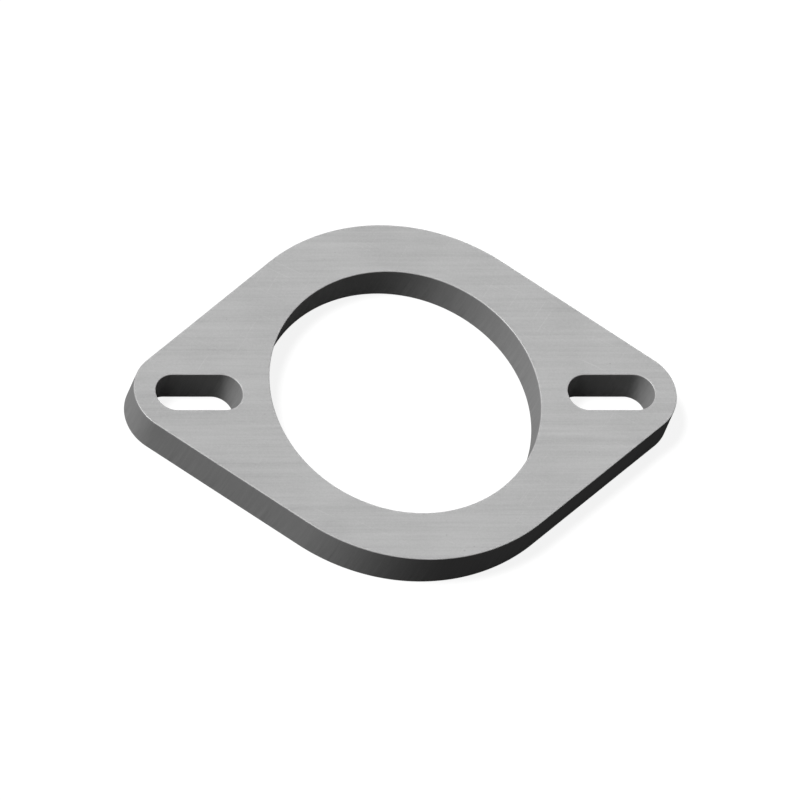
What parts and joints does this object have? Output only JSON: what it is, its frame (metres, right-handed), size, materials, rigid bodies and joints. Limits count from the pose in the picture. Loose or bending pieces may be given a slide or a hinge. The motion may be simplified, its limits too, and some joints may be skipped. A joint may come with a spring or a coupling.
{
  "type": "pipe flange",
  "caption": "Flat oval plate flange with a round bore for a pipe and a slotted bolt hole in each ear.",
  "frame": {"origin": "on the bore's axis, in the plane of the lower face", "axes": "+Z along the bore axis, up through the plate; +X along the line of the bolt slots"},
  "size_m": [0.125, 0.086, 0.01],
  "materials": {
    "plate_steel": "matte"
  },
  "bodies": {
    "root": {"flange_plate": "plate_steel"}
  },
  "joints": []
}
